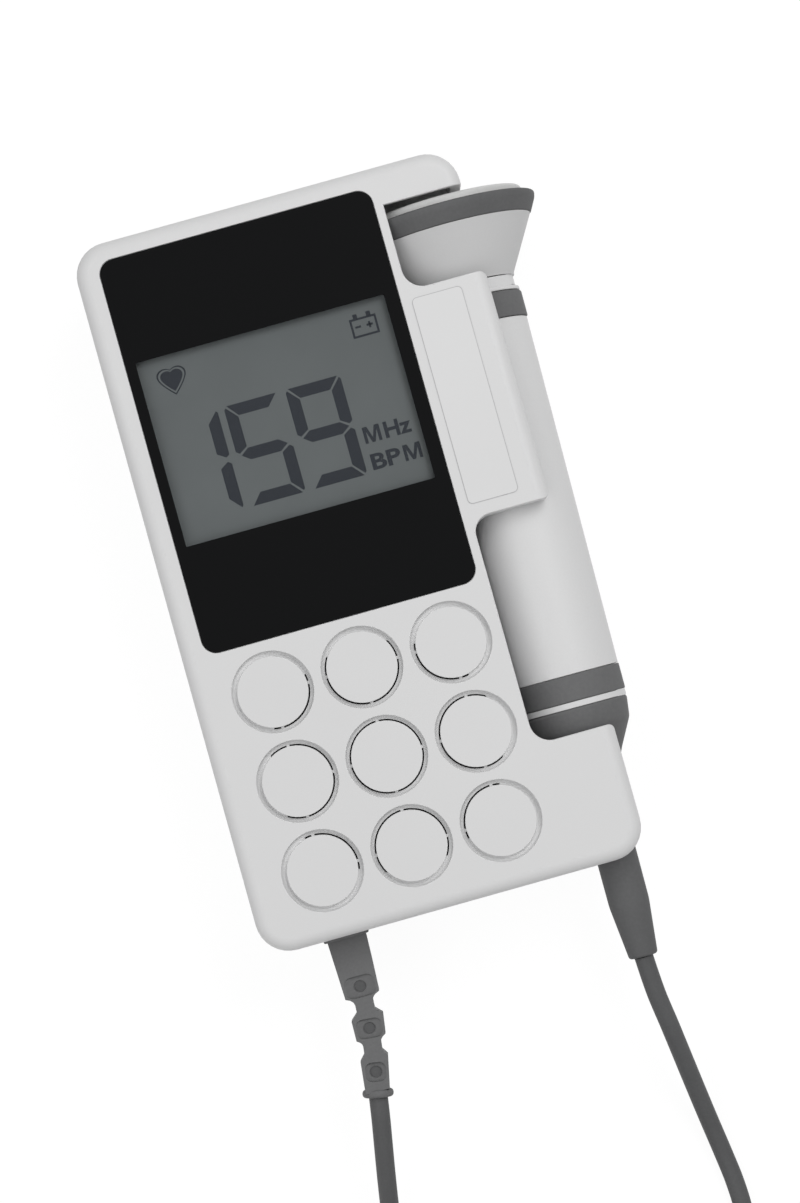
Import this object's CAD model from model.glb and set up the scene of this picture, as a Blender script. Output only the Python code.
"""Pocket ultrasound fetal heart monitor with its probe stowed in an open channel on the right.

Every size is in millimetres in the frame of the part: +X is the unit's right side, +Y its top
end and +Z comes out of its face. A mesh is turned into Blender's metres when it is placed.
"""

import logging
import math
from dataclasses import dataclass
from enum import Enum
from typing import Iterable, Optional, Sequence

import bmesh
import bpy
from mathutils import Matrix, Vector


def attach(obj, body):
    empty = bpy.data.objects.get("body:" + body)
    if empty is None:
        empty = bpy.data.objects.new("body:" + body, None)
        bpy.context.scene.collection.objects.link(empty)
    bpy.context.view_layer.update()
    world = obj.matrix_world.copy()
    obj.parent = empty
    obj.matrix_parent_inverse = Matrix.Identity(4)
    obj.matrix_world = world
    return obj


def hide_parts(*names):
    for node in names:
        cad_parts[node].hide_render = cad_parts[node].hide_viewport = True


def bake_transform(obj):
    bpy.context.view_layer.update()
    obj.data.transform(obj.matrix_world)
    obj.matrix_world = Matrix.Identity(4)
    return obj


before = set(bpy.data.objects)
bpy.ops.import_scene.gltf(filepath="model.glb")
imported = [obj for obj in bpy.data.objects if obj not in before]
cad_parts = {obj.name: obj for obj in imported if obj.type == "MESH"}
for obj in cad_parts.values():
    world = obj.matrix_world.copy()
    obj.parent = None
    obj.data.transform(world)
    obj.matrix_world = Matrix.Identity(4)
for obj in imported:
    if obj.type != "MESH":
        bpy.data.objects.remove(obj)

LOG = logging.getLogger("monitor")
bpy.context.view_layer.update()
METRES = 0.001
MERGE = 1e-4  # corners nearer than this, in millimetres, are one

Point = tuple[float, float, float]
Flat = tuple[float, float]
Mesh = bmesh.types.BMesh
Face = bmesh.types.BMFace
Edge = bmesh.types.BMEdge
Vert = bmesh.types.BMVert
Socket = bpy.types.NodeSocket
Piece = bpy.types.Object


def link(obj: Piece) -> Piece:
    """Add an object to the scene's collection and return it."""
    bpy.context.scene.collection.objects.link(obj)
    return obj


# ------------------------------------------------------------------ shading


class Shading:
    """A material's node tree, with short calls for the nodes that the finishes share."""

    def __init__(self, name: str) -> None:
        """Start a material whose Principled shader is joined to the output.

        Args:
            name: Name of the material.
        """
        self.material = bpy.data.materials.new(name)
        self.material.use_nodes = True
        self.tree = self.material.node_tree
        self.tree.nodes.clear()
        self.out = self.tree.nodes.new("ShaderNodeOutputMaterial")
        self.shader = self.tree.nodes.new("ShaderNodeBsdfPrincipled")
        self.tree.links.new(self.shader.outputs[0], self.out.inputs[0])
        self.place = self.tree.nodes.new("ShaderNodeTexCoord").outputs["Object"]

    def mapped(self, scale: Point = (1, 1, 1), shift: Point = (0, 0, 0), turn: float = 0.0) -> Socket:
        """Object coordinates, scaled, shifted and turned about Z.

        Args:
            scale: Factor along each axis.
            shift: Shift in metres, after the scale.
            turn: Turn about Z in radians.

        Returns:
            The vector output of the Mapping node.
        """
        node = self.tree.nodes.new("ShaderNodeMapping")
        node.inputs["Scale"].default_value = scale
        node.inputs["Location"].default_value = shift
        node.inputs["Rotation"].default_value = (0, 0, turn)
        self.tree.links.new(self.place, node.inputs["Vector"])
        return node.outputs[0]

    def noise(self, scale: float, detail: float = 2.0, vector: Optional[Socket] = None) -> Socket:
        """Noise with about `scale` bumps in each metre.

        Args:
            scale: Bumps per metre.
            detail: Number of finer layers.
            vector: Coordinates, or None for plain object coordinates.

        Returns:
            The factor output.
        """
        node = self.tree.nodes.new("ShaderNodeTexNoise")
        node.inputs["Scale"].default_value = scale
        node.inputs["Detail"].default_value = detail
        self.tree.links.new(vector or self.place, node.inputs["Vector"])
        return node.outputs["Fac"]

    def cells(self, scale: float, feature: str = "F1") -> Socket:
        """Distance output of a Voronoi texture.

        Args:
            scale: Cells per metre.
            feature: Voronoi feature name.

        Returns:
            The distance output.
        """
        node = self.tree.nodes.new("ShaderNodeTexVoronoi")
        node.feature = feature
        node.inputs["Scale"].default_value = scale
        self.tree.links.new(self.place, node.inputs["Vector"])
        return node.outputs["Distance"]

    def waves(self, scale: float, axis: str, distortion: float = 0.0) -> Socket:
        """Bands across one axis.

        Args:
            scale: Wave scale, about three bands for each unit.
            axis: X, Y or Z.
            distortion: How much the bands wander.

        Returns:
            The factor output.
        """
        node = self.tree.nodes.new("ShaderNodeTexWave")
        node.bands_direction = axis
        node.inputs["Scale"].default_value = scale
        node.inputs["Distortion"].default_value = distortion
        self.tree.links.new(self.place, node.inputs["Vector"])
        return node.outputs["Fac"]

    def span(self, value: Socket, low: float, high: float, start: float = 0.3, end: float = 0.7) -> Socket:
        """Carry a value that runs from start to end over to low to high.

        Args:
            value: Value to carry over.
            low: Result at start.
            high: Result at end.
            start: Lower end of the value.
            end: Upper end of the value.

        Returns:
            The result, held inside low and high.
        """
        node = self.tree.nodes.new("ShaderNodeMapRange")
        node.inputs["From Min"].default_value = start
        node.inputs["From Max"].default_value = end
        node.inputs["To Min"].default_value = low
        node.inputs["To Max"].default_value = high
        self.tree.links.new(value, node.inputs["Value"])
        return node.outputs[0]

    def combine(self, first: Socket, second: Socket, work: str) -> Socket:
        """Join two values by one sum.

        Args:
            first: First value.
            second: Second value.
            work: Math node's operation, such as ADD or MULTIPLY.

        Returns:
            The result.
        """
        node = self.tree.nodes.new("ShaderNodeMath")
        node.operation = work
        self.tree.links.new(first, node.inputs[0])
        self.tree.links.new(second, node.inputs[1])
        return node.outputs[0]

    def part_of_place(self, axis: int) -> Socket:
        """One object coordinate.

        Args:
            axis: 0 for X, 1 for Y, 2 for Z.

        Returns:
            The coordinate in metres.
        """
        node = self.tree.nodes.new("ShaderNodeSeparateXYZ")
        self.tree.links.new(self.place, node.inputs[0])
        return node.outputs[axis]

    def tones(self, factor: Socket, stops: Sequence[tuple[float, Point]], hard: bool = False) -> Socket:
        """Colours along a ramp.

        Args:
            factor: Place on the ramp.
            stops: Place and colour of each stop.
            hard: Whether the colours change without a blend.

        Returns:
            The colour output.
        """
        node = self.tree.nodes.new("ShaderNodeValToRGB")
        ramp = node.color_ramp
        ramp.interpolation = "CONSTANT" if hard else "LINEAR"
        while len(ramp.elements) < len(stops):
            ramp.elements.new(1.0)
        for element, (where, colour) in zip(ramp.elements, stops):
            element.position = where
            element.color = (*colour, 1.0)
        self.tree.links.new(factor, node.inputs[0])
        return node.outputs[0]

    def blended(self, factor: Socket, first: Socket, second: Socket) -> Socket:
        """Blend two colours by a factor.

        Args:
            factor: Share of the second colour.
            first: First colour.
            second: Second colour.

        Returns:
            The blended colour.
        """
        node = self.tree.nodes.new("ShaderNodeMix")
        node.data_type = "RGBA"
        self.tree.links.new(factor, node.inputs["Factor"])
        self.tree.links.new(first, node.inputs["A"])
        self.tree.links.new(second, node.inputs["B"])
        return next(o for o in node.outputs if o.type == "RGBA")

    def feed(self, socket: str, value: Socket) -> None:
        """Join a value to one of the shader's sockets."""
        self.tree.links.new(value, self.shader.inputs[socket])

    def set(self, **values: float) -> None:
        """Set constant numbers on the shader's own sockets; underscores stand for spaces."""
        for name, value in values.items():
            self.shader.inputs[name.replace("_", " ")].default_value = value

    def raise_by(self, height: Socket, strength: float, distance: float) -> None:
        """Give the shader a bump.

        Args:
            height: Height of the bump, from 0 to 1.
            strength: Strength of the bump.
            distance: Depth in metres.
        """
        node = self.tree.nodes.new("ShaderNodeBump")
        node.inputs["Strength"].default_value = strength
        node.inputs["Distance"].default_value = distance
        self.tree.links.new(height, node.inputs["Height"])
        self.tree.links.new(node.outputs[0], self.shader.inputs["Normal"])


def shade(colour: Point, factor: float) -> Point:
    """Return a colour made lighter or darker by a factor."""
    return tuple(min(1.0, c * factor) for c in colour)


# ------------------------------------------------------------------ finishes


@dataclass(frozen=True)
class Finish:
    """What every finish has: a name, a slot of the record and a base colour."""

    name: str
    slot: str
    colour: Point

    def material(self) -> bpy.types.Material:
        """Make this finish's material once.

        Returns:
            The material.
        """
        made = bpy.data.materials.get(self.name)
        if made is None:
            shading = Shading(self.name)
            self.paint(shading)
            made = shading.material
        return made

    def paint(self, s: Shading) -> None:
        """Lay the finish on a material's node tree."""
        raise NotImplementedError

    def ramp(self, start: float, dark: float, end: float, light: float) -> list[tuple[float, Point]]:
        """Return the stops of a ramp between two tones of the base colour."""
        return [(start, shade(self.colour, dark)), (end, shade(self.colour, light))]


class Grain(Enum):
    """How fine a moulded surface is: bumps per metre and their depth in metres."""

    POLISHED = (900.0, 0.000004)
    SATIN = (2400.0, 0.00001)
    SPARKED = (4200.0, 0.00002)


@dataclass(frozen=True)
class Moulded(Finish):
    """Injection-moulded plastic with a fine spark-eroded texture and faint flow marks."""

    grain: Grain = Grain.SPARKED
    roughness: float = 0.5
    specular: float = 0.35
    tone: float = 0.015

    def paint(self, s: Shading) -> None:
        """Lay the finish on a material.

        Args:
            s: The material's node tree.
        """
        flow = s.noise(28.0, 3.0)
        specks = s.noise(self.grain.value[0], 2.0)
        broad = s.tones(flow, self.ramp(0.3, 1 - self.tone, 0.7, 1 + self.tone))
        fine = s.tones(specks, self.ramp(0.35, 1 - self.tone, 0.65, 1 + self.tone))
        s.feed("Base Color", s.blended(s.span(s.noise(160.0), 0.3, 0.7), broad, fine))
        s.feed("Roughness", s.span(flow, self.roughness - 0.05, self.roughness + 0.05))
        s.set(Specular_IOR_Level=self.specular)
        s.raise_by(s.combine(specks, s.noise(self.grain.value[0] * 2.7, 1.0), "ADD"), 0.35, self.grain.value[1])


@dataclass(frozen=True)
class Rubber(Finish):
    """Soft grey elastomer: satin, with a dusty bloom and a pebbled skin."""

    roughness: float = 0.6
    pebble: float = 1500.0

    def paint(self, s: Shading) -> None:
        """Lay the finish on a material.

        Args:
            s: The material's node tree.
        """
        bloom = s.noise(70.0, 4.0)
        skin = s.noise(self.pebble, 3.0)
        s.feed("Base Color", s.tones(s.combine(bloom, s.span(skin, -0.12, 0.12), "ADD"),
                                     self.ramp(0.3, 0.93, 0.75, 1.09)))
        s.feed("Roughness", s.span(bloom, self.roughness - 0.07, self.roughness + 0.07))
        s.set(Specular_IOR_Level=0.12)
        s.raise_by(skin, 0.4, 0.00002)


@dataclass(frozen=True)
class Film(Finish):
    """Printed or pressed plastic film with a very fine orange-peel surface."""

    roughness: float = 0.5
    specular: float = 0.2
    tone: float = 0.05

    def paint(self, s: Shading) -> None:
        """Lay the finish on a material.

        Args:
            s: The material's node tree.
        """
        haze = s.noise(40.0, 3.0)
        peel = s.noise(1800.0, 1.5)
        s.feed("Base Color", s.tones(s.combine(haze, s.span(peel, -0.08, 0.08), "ADD"),
                                     self.ramp(0.3, 1 - self.tone, 0.7, 1 + self.tone)))
        s.feed("Roughness", s.span(haze, self.roughness - 0.05, self.roughness + 0.06))
        s.set(Specular_IOR_Level=self.specular)
        s.raise_by(peel, 0.25, 0.000006)


@dataclass(frozen=True)
class Clear(Finish):
    """Clear hard-coated acrylic with faint wipe marks."""

    opacity: float = 0.1

    def paint(self, s: Shading) -> None:
        """Lay the finish on a material.

        Args:
            s: The material's node tree.
        """
        wipes = s.noise(60.0, 4.0, s.mapped((1.0, 0.25, 1.0)))
        s.feed("Base Color", s.tones(wipes, self.ramp(0.3, 0.97, 0.7, 1.0)))
        s.feed("Roughness", s.span(wipes, 0.05, 0.14))
        s.set(Alpha=self.opacity, Specular_IOR_Level=0.5)


@dataclass(frozen=True)
class Polariser(Finish):
    """Grey polariser over a liquid crystal cell, a little lighter towards one corner."""

    def paint(self, s: Shading) -> None:
        """Lay the finish on a material.

        Args:
            s: The material's node tree.
        """
        across = s.combine(s.part_of_place(0), s.part_of_place(1), "ADD")
        even = s.combine(s.span(across, 0.42, 0.0, -0.02, 0.06), s.span(s.noise(90.0, 3.0), 0.0, 0.3), "ADD")
        s.feed("Base Color", s.tones(even, self.ramp(0.0, 0.93, 0.75, 1.12)))
        s.feed("Roughness", s.span(s.noise(3000.0), 0.4, 0.5))
        s.set(Specular_IOR_Level=0.3)
        s.raise_by(s.noise(3600.0), 0.2, 0.000004)


@dataclass(frozen=True)
class Metal(Finish):
    """Plated metal, with rolling marks along one axis."""

    roughness: float = 0.3
    marks: Point = (1.0, 12.0, 1.0)

    def paint(self, s: Shading) -> None:
        """Lay the finish on a material.

        Args:
            s: The material's node tree.
        """
        rolled = s.noise(700.0, 3.0, s.mapped(self.marks))
        stain = s.noise(120.0, 4.0)
        s.feed("Base Color", s.tones(stain, self.ramp(0.3, 0.85, 0.65, 1.0)))
        s.feed("Roughness", s.span(rolled, self.roughness - 0.1, self.roughness + 0.12))
        s.set(Metallic=1.0)
        s.raise_by(rolled, 0.2, 0.000008)


@dataclass(frozen=True)
class CircuitMask(Finish):
    """Solder mask with copper tracks that show through it as lighter lines."""

    track: Point = (0.03, 0.2, 0.08)

    def paint(self, s: Shading) -> None:
        """Lay the finish on a material.

        Args:
            s: The material's node tree.
        """
        brick = s.tree.nodes.new("ShaderNodeTexBrick")
        brick.inputs["Scale"].default_value = 320.0
        brick.inputs["Mortar Size"].default_value = 0.06
        brick.inputs["Color1"].default_value = (*self.colour, 1.0)
        brick.inputs["Color2"].default_value = (*shade(self.colour, 0.85), 1.0)
        brick.inputs["Mortar"].default_value = (*self.track, 1.0)
        s.tree.links.new(s.mapped(turn=0.785), brick.inputs["Vector"])
        vias = s.span(s.cells(420.0), 1.0, 0.0, 0.1, 0.16)
        pads = s.tones(vias, [(0.0, self.colour), (1.0, (0.5, 0.42, 0.2))])
        s.feed("Base Color", s.blended(vias, brick.outputs["Color"], pads))
        s.feed("Roughness", s.span(s.noise(900.0), 0.25, 0.4))
        s.raise_by(brick.outputs["Fac"], 0.4, 0.00003)


@dataclass(frozen=True)
class Woven(Finish):
    """Fine woven cloth or hook-and-loop band."""

    threads: float = 700.0
    depth: float = 0.00008

    def paint(self, s: Shading) -> None:
        """Lay the finish on a material.

        Args:
            s: The material's node tree.
        """
        weave = s.combine(s.waves(self.threads, "X", 0.6), s.waves(self.threads, "Y", 0.6), "MULTIPLY")
        fluff = s.noise(self.threads * 4, 3.0)
        s.feed("Base Color", s.tones(s.combine(weave, s.span(fluff, -0.15, 0.2), "ADD"),
                                     self.ramp(0.05, 0.5, 0.6, 1.3)))
        s.feed("Roughness", s.span(fluff, 0.75, 0.95))
        s.set(Specular_IOR_Level=0.15, Sheen_Weight=0.25, Sheen_Roughness=0.4)
        s.raise_by(s.combine(weave, fluff, "ADD"), 0.8, self.depth)


@dataclass(frozen=True)
class Porous(Finish):
    """Foam or pressed pulp: small open cells and fibres."""

    pores: float = 1600.0
    depth: float = 0.0001

    def paint(self, s: Shading) -> None:
        """Lay the finish on a material.

        Args:
            s: The material's node tree.
        """
        pits = s.cells(self.pores)
        fibres = s.noise(self.pores * 0.6, 5.0)
        s.feed("Base Color", s.tones(s.combine(pits, fibres, "MULTIPLY"),
                                     self.ramp(0.05, 0.6, 0.5, 1.4)))
        s.feed("Roughness", s.span(fibres, 0.8, 0.95))
        s.set(Specular_IOR_Level=0.15)
        s.raise_by(s.combine(pits, fibres, "ADD"), 0.7, self.depth)


@dataclass(frozen=True)
class Sleeve(Finish):
    """Shrunk sleeve of a round cell: plain colour with one lighter band near the positive end."""

    band: Point = (0.55, 0.45, 0.2)

    def paint(self, s: Shading) -> None:
        """Lay the finish on a material.

        Args:
            s: The material's node tree.
        """
        along = s.span(s.part_of_place(1), 0.0, 1.0, 0.008, 0.058)
        s.feed("Base Color", s.tones(along, [(0.0, self.band), (0.13, self.colour), (0.87, self.band)], hard=True))
        s.feed("Roughness", s.span(s.noise(300.0, 3.0), 0.2, 0.35))
        s.set(Coat_Weight=0.3, Coat_Roughness=0.12)
        s.raise_by(s.noise(260.0, 3.0), 0.2, 0.00002)


CASE = Moulded("case_abs", "case_plastic", (0.71, 0.71, 0.712))
PROBE = Moulded("probe_abs", "probe_plastic", (0.71, 0.71, 0.712), Grain.SATIN, 0.45)
HEAD = Moulded("probe_head_abs", "probe_plastic", (0.6, 0.6, 0.602), Grain.SATIN, 0.5)
DISPLAY_FRAME = Moulded("display_frame_abs", "case_plastic", (0.62, 0.62, 0.6), Grain.SATIN)
KEYCAP = Moulded("key_grey", "key_plastic", (0.3, 0.31, 0.32), Grain.SATIN, 0.5)
KEY_MARK = Moulded("key_mark_white", "key_plastic", (0.72, 0.72, 0.72), Grain.POLISHED, 0.4)
BLACK_PART = Moulded("black_moulding", "black_plastic", (0.02, 0.02, 0.022), Grain.SATIN, 0.4)
NYLON = Moulded("connector_nylon_natural", "connector_nylon", (0.75, 0.72, 0.62), Grain.POLISHED, 0.4)
LIGHT_GUIDE = Moulded("light_guide_white", "light_guide", (0.75, 0.77, 0.75), Grain.POLISHED, 0.3)
CERAMIC = Moulded("crystal_ceramic", "crystal", (0.5, 0.42, 0.25), Grain.SATIN, 0.6)
MEMBRANE = Film("acoustic_face", "membrane", (0.64, 0.64, 0.635), 0.42, 0.3)
PANEL = Film("panel_film", "black_panel", (0.0056, 0.0058, 0.0062), 0.55, 0.05)
LABEL = Film("label_film_blank", "label_film", (0.72, 0.72, 0.722), 0.4, 0.3, 0.008)
LABEL_RIM = Film("label_cut_edge", "label_film", (0.5, 0.5, 0.505), 0.5, 0.2)
SEGMENT = Film("lcd_segment", "lcd_cell", (0.036, 0.041, 0.052), 0.5, 0.1)
LENS = Clear("lens_acrylic", "clear_lens", (0.06, 0.065, 0.065), 0.08)
LCD = Polariser("lcd_polariser", "lcd_cell", (0.14, 0.156, 0.159))
RUBBER = Rubber("grip_rubber", "grey_rubber", (0.152, 0.153, 0.155))
HEAD_RUBBER = Rubber("head_rubber", "grey_rubber", (0.126, 0.127, 0.129))
LEAD = Rubber("lead_sheath", "lead_rubber", (0.112, 0.113, 0.115), 0.5, 2200.0)
RELIEF = Rubber("relief_rubber", "grey_rubber", (0.164, 0.165, 0.167), 0.55, 1900.0)
ELASTOMER = Rubber("zebra_elastomer", "pink_elastomer", (0.6, 0.28, 0.32))
EPOXY = Rubber("backing_epoxy", "backing", (0.05, 0.05, 0.06))
BOARD = CircuitMask("solder_mask", "circuit_board", (0.01, 0.12, 0.05))
STEEL = Metal("screw_plating", "screw_steel", (0.6, 0.6, 0.6))
NICKEL = Metal("spring_nickel", "contact_nickel", (0.65, 0.64, 0.6), 0.25)
MAGNET = Moulded("coated_ferrite", "magnet", (0.1, 0.1, 0.11), Grain.SATIN, 0.35)
CAN = Sleeve("capacitor_sleeve_blue", "capacitor_sleeve", (0.03, 0.05, 0.13))
CELL = Sleeve("cell_sleeve_blue", "cell_sleeve", (0.06, 0.09, 0.17))
PAPER = Porous("cone_paper", "speaker_paper", (0.02, 0.019, 0.018))
FOAM = Porous("gasket_foam", "black_foam", (0.012, 0.012, 0.012))
CLOTH = Woven("dust_cloth", "black_cloth", (0.008, 0.008, 0.008), 900.0)
TIE = Woven("tie_band", "black_cloth", (0.02, 0.02, 0.022), 500.0)


# ------------------------------------------------------------------ shapes


class Form:
    """Shapes in millimetres that the pieces start from."""

    @staticmethod
    def bevel(bm: Mesh, geom: Iterable[Vert | Edge], offset: float, segments: int, affect: str = "EDGES") -> None:
        """Bevel edges or corners.

        Args:
            bm: Form to change.
            geom: Edges or corners to bevel.
            offset: Width of the bevel.
            segments: Steps across it.
            affect: EDGES or VERTICES.
        """
        bmesh.ops.bevel(bm, geom=list(geom), offset=offset, offset_type="OFFSET", segments=segments, profile=0.5,
                        affect=affect, material=-1)

    @staticmethod
    def moved(bm: Mesh, matrix: Matrix) -> Mesh:
        """Move a form by a matrix and return it."""
        bmesh.ops.transform(bm, matrix=matrix, verts=bm.verts)
        return bm

    @staticmethod
    def rotated(bm: Mesh, angle: float, axis: str) -> Mesh:
        """Turn a form about an axis through the origin and return it."""
        bmesh.ops.rotate(bm, verts=bm.verts, cent=(0, 0, 0), matrix=Matrix.Rotation(angle, 3, axis))
        return bm

    @staticmethod
    def sliced(bm: Mesh, spot: Point, normal: Point) -> None:
        """Divide a form's faces by a plane."""
        bmesh.ops.bisect_plane(bm, geom=bm.verts[:] + bm.edges[:] + bm.faces[:], dist=MERGE, plane_co=spot,
                               plane_no=normal)

    @staticmethod
    def turned(profile: Sequence[Point], steps: int = 96, closed: bool = True, angle: float = math.tau) -> Mesh:
        """Turn a section round Z.

        Args:
            profile: Radius, length along Z and corner rounding of each point.
            steps: Steps of the turn.
            closed: Whether the section is a ring of points; if not it runs from axis to axis.
            angle: Angle of the turn in radians.

        Returns:
            The turned form.
        """
        bm = bmesh.new()
        corners = [bm.verts.new((radius, 0.0, along)) for radius, along, _ in profile]
        for a, b in zip(corners, corners[1:] + corners[:1] if closed else corners[1:]):
            bm.edges.new((a, b))
        for corner, (_, _, rounding) in zip(corners, profile):
            if rounding:
                Form.bevel(bm, [corner], rounding, 4, "VERTICES")
        partial = angle < math.tau
        if partial:
            bmesh.ops.contextual_create(bm, geom=bm.edges[:])
        bmesh.ops.spin(bm, geom=bm.verts[:] + bm.edges[:] + bm.faces[:], cent=(0, 0, 0), axis=(0, 0, 1), angle=angle,
                       steps=steps, use_merge=not partial)
        if partial:
            Form.rotated(bm, -angle / 2, "Z")
            bmesh.ops.holes_fill(bm, edges=bm.edges, sides=0)
        bmesh.ops.remove_doubles(bm, verts=bm.verts, dist=MERGE)
        bmesh.ops.recalc_face_normals(bm, faces=bm.faces)
        return bm

    @staticmethod
    def block(low: Point, high: Point, corner: float = 0.0, edge: float = 0.0, axis: int = 2,
              segments: int = 8) -> Mesh:
        """Make a block with rounded corners along one axis and a small rounding on its rims.

        Args:
            low: Lowest corner.
            high: Highest corner.
            corner: Radius of the four corners along the axis.
            edge: Rounding of the other edges.
            axis: Axis that the corners run along.
            segments: Steps in each corner.

        Returns:
            The block.
        """
        bm = bmesh.new()
        size = Vector(high) - Vector(low)
        middle = (Vector(high) + Vector(low)) / 2
        bmesh.ops.create_cube(bm, size=1.0, matrix=Matrix.Translation(middle) @ Matrix.Diagonal((*size, 1.0)))
        if corner:
            along = [e for e in bm.edges if abs((e.verts[0].co - e.verts[1].co)[axis]) > size[axis] * 0.99]
            Form.bevel(bm, along, corner, segments)
        if edge:
            rims = [e for e in bm.edges if not corner or abs((e.verts[0].co - e.verts[1].co)[axis]) < 1e-6]
            Form.bevel(bm, rims, edge, 3)
        return bm

    @staticmethod
    def plate(outline: Sequence[Flat], low: float, high: float, holes: Sequence[Sequence[Flat]] = ()) -> Mesh:
        """Make a flat plate from an outline seen from the face.

        Args:
            outline: Corners of the outline.
            low: Height of the underside.
            high: Height of the top.
            holes: Corners of each hole through it.

        Returns:
            The plate.
        """
        bm = bmesh.new()
        for loop in (outline, *holes):
            corners = [bm.verts.new((x, y, low)) for x, y in loop]
            for a, b in zip(corners, corners[1:] + corners[:1]):
                bm.edges.new((a, b))
        if holes:
            bmesh.ops.triangle_fill(bm, use_beauty=True, use_dissolve=False, edges=bm.edges[:])
        else:
            bmesh.ops.contextual_create(bm, geom=bm.edges[:])
        grown = bmesh.ops.extrude_face_region(bm, geom=bm.faces[:])["geom"]
        top = [g for g in grown if isinstance(g, Vert)]
        bmesh.ops.translate(bm, verts=top, vec=(0, 0, high - low))
        bmesh.ops.recalc_face_normals(bm, faces=bm.faces)
        return bm

    @staticmethod
    def tube(path: Sequence[Vector], radius: float, sides: int = 20) -> Mesh:
        """Sweep a ring along a line without twisting it.

        Args:
            path: Points of the line.
            radius: Radius of the ring.
            sides: Sides of the ring.

        Returns:
            The tube, closed at both ends.
        """
        bm = bmesh.new()
        tangents = [(path[min(i + 1, len(path) - 1)] - path[max(i - 1, 0)]).normalized() for i in range(len(path))]
        turn = Vector((0, 0, 1)).rotation_difference(tangents[0])
        ring = bmesh.ops.create_circle(bm, cap_ends=False, segments=sides, radius=radius)["verts"]
        edges = list({e for v in ring for e in v.link_edges})
        bmesh.ops.transform(bm, matrix=Matrix.Translation(path[0]) @ turn.to_matrix().to_4x4(), verts=ring)
        for i in range(1, len(path)):
            geom = bmesh.ops.extrude_edge_only(bm, edges=edges)["geom"]
            ring = [g for g in geom if isinstance(g, Vert)]
            edges = [g for g in geom if isinstance(g, Edge)]
            step = tangents[i - 1].rotation_difference(tangents[i]).to_matrix().to_4x4()
            move = Matrix.Translation(path[i]) @ step @ Matrix.Translation(-path[i - 1])
            bmesh.ops.transform(bm, matrix=move, verts=ring)
        bmesh.ops.holes_fill(bm, edges=[e for e in bm.edges if e.is_boundary], sides=0)
        bmesh.ops.recalc_face_normals(bm, faces=bm.faces)
        return bm

    @staticmethod
    def cad_copy(node: str) -> Mesh:
        """Copy a CAD node's mesh, with its doubles merged and its flat areas joined.

        Args:
            node: Name of the node.

        Returns:
            The copy in millimetres.
        """
        bm = bmesh.new()
        bm.from_mesh(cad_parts[node].data)
        bmesh.ops.scale(bm, vec=(1000, 1000, 1000), verts=bm.verts)
        bmesh.ops.remove_doubles(bm, verts=bm.verts, dist=5e-4)
        bmesh.ops.dissolve_degenerate(bm, dist=MERGE, edges=bm.edges)
        bmesh.ops.dissolve_limit(bm, angle_limit=math.radians(0.5), use_dissolve_boundaries=False,
                                 verts=bm.verts, edges=bm.edges, delimit=set())
        return bm

    @staticmethod
    def join(parts: Sequence[Mesh]) -> Mesh:
        """Put several forms into one.

        Args:
            parts: Forms to join; they are freed.

        Returns:
            The joined form.
        """
        whole = bmesh.new()
        for part in parts:
            held = bpy.data.meshes.new("part")
            part.to_mesh(held)
            part.free()
            whole.from_mesh(held)
            bpy.data.meshes.remove(held)
        return whole

    @staticmethod
    def cut(base: Mesh, tool: Mesh) -> Mesh:
        """Cut one form out of another.

        Args:
            base: Form that is cut; it is freed.
            tool: Form that cuts; it is freed.

        Returns:
            What is left of the base.
        """
        held = []
        for name, bm in (("base", base), ("tool", tool)):
            mesh = bpy.data.meshes.new(name)
            bm.to_mesh(mesh)
            bm.free()
            held.append(link(bpy.data.objects.new(name, mesh)))
        boolean = held[0].modifiers.new("cut", "BOOLEAN")
        boolean.operation = "DIFFERENCE"
        boolean.solver = "EXACT"
        boolean.object = held[1]
        result = bmesh.new()
        result.from_object(held[0], bpy.context.evaluated_depsgraph_get())
        for obj in held:
            bpy.data.objects.remove(obj)
        bmesh.ops.remove_doubles(result, verts=result.verts, dist=MERGE)
        return result

    @staticmethod
    def lettering(text: str, weight: float, low: Flat, high: Flat, base: float, top: float) -> Mesh:
        """Make plain lettering that fills a rectangle.

        Args:
            text: What it says.
            weight: How much the strokes are thickened.
            low: Lower left corner of the rectangle.
            high: Upper right corner.
            base: Height of the underside.
            top: Height of the top.

        Returns:
            The lettering as a thin solid.
        """
        curve = bpy.data.curves.new(text, "FONT")
        curve.body = text
        curve.offset = weight
        curve.extrude = 0.5
        curve.resolution_u = 6
        return Form.from_curve(curve, low, high, base, top)

    @staticmethod
    def from_curve(curve: bpy.types.Curve, low: Flat, high: Flat, base: float, top: float) -> Mesh:
        """Turn a flat curve into a thin solid that fills a rectangle.

        Args:
            curve: Text or filled curve; it is removed.
            low: Lower left corner of the rectangle.
            high: Upper right corner.
            base: Height of the underside.
            top: Height of the top.

        Returns:
            The thin solid.
        """
        held = link(bpy.data.objects.new("flat", curve))
        depsgraph = bpy.context.evaluated_depsgraph_get()
        mesh = bpy.data.meshes.new_from_object(held.evaluated_get(depsgraph))
        bm = bmesh.new()
        bm.from_mesh(mesh)
        bpy.data.objects.remove(held)
        bpy.data.curves.remove(curve)
        bpy.data.meshes.remove(mesh)
        first = Vector(min(v.co[k] for v in bm.verts) for k in range(3))
        last = Vector(max(v.co[k] for v in bm.verts) for k in range(3))
        start, end = Vector((*low, base)), Vector((*high, top))
        factor = [(end[k] - start[k]) / (last[k] - first[k]) for k in range(3)]
        bmesh.ops.translate(bm, verts=bm.verts, vec=-first)
        bmesh.ops.scale(bm, vec=factor, verts=bm.verts)
        bmesh.ops.translate(bm, verts=bm.verts, vec=start)
        bmesh.ops.remove_doubles(bm, verts=bm.verts, dist=MERGE)
        return bm


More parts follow.
